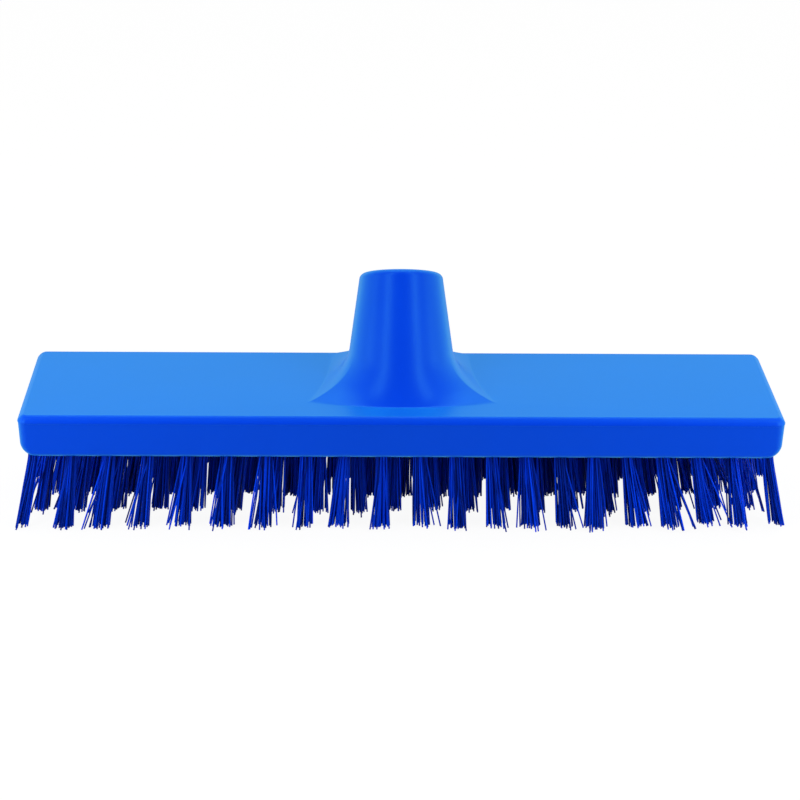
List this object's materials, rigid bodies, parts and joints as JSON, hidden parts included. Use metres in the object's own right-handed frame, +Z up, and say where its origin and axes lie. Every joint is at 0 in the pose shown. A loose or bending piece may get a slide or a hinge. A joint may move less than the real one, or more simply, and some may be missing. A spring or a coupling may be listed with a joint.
{
  "type": "deck brush",
  "caption": "Deck brush head: a moulded plastic block with a leaning tapered socket for a screwed handle, and rows of stiff bristle tufts underneath.",
  "frame": {"origin": "centre of the footprint on the surface that the bristle tips stand on", "axes": "+X along the brush's length, front facing -Y, +Z up; the handle socket leans back towards +Y"},
  "size_m": [0.3112, 0.076, 0.097],
  "materials": {
    "blue_plastic": "satin moulded polypropylene",
    "bristle_fibre": "straight polypropylene filament with a slight sheen",
    "anchor_steel": "tinned steel strip"
  },
  "bodies": {
    "root": {"block_with_socket": "blue_plastic", "tuft_column_01": "bristle_fibre", "tuft_column_02": "bristle_fibre", "tuft_column_03": "bristle_fibre", "tuft_column_04": "bristle_fibre", "tuft_column_05": "bristle_fibre", "tuft_column_06": "bristle_fibre", "tuft_column_07": "bristle_fibre", "tuft_column_08": "bristle_fibre", "tuft_column_09": "bristle_fibre", "tuft_column_10": "bristle_fibre", "tuft_column_11": "bristle_fibre", "tuft_column_12": "bristle_fibre", "tuft_column_13": "bristle_fibre", "tuft_column_14": "bristle_fibre", "tuft_column_15": "bristle_fibre", "tuft_column_16": "bristle_fibre", "tuft_column_17": "bristle_fibre", "tuft_column_18": "bristle_fibre", "tuft_column_19": "bristle_fibre", "tuft_column_20": "bristle_fibre", "tuft_column_21": "bristle_fibre"}
  },
  "joints": []
}
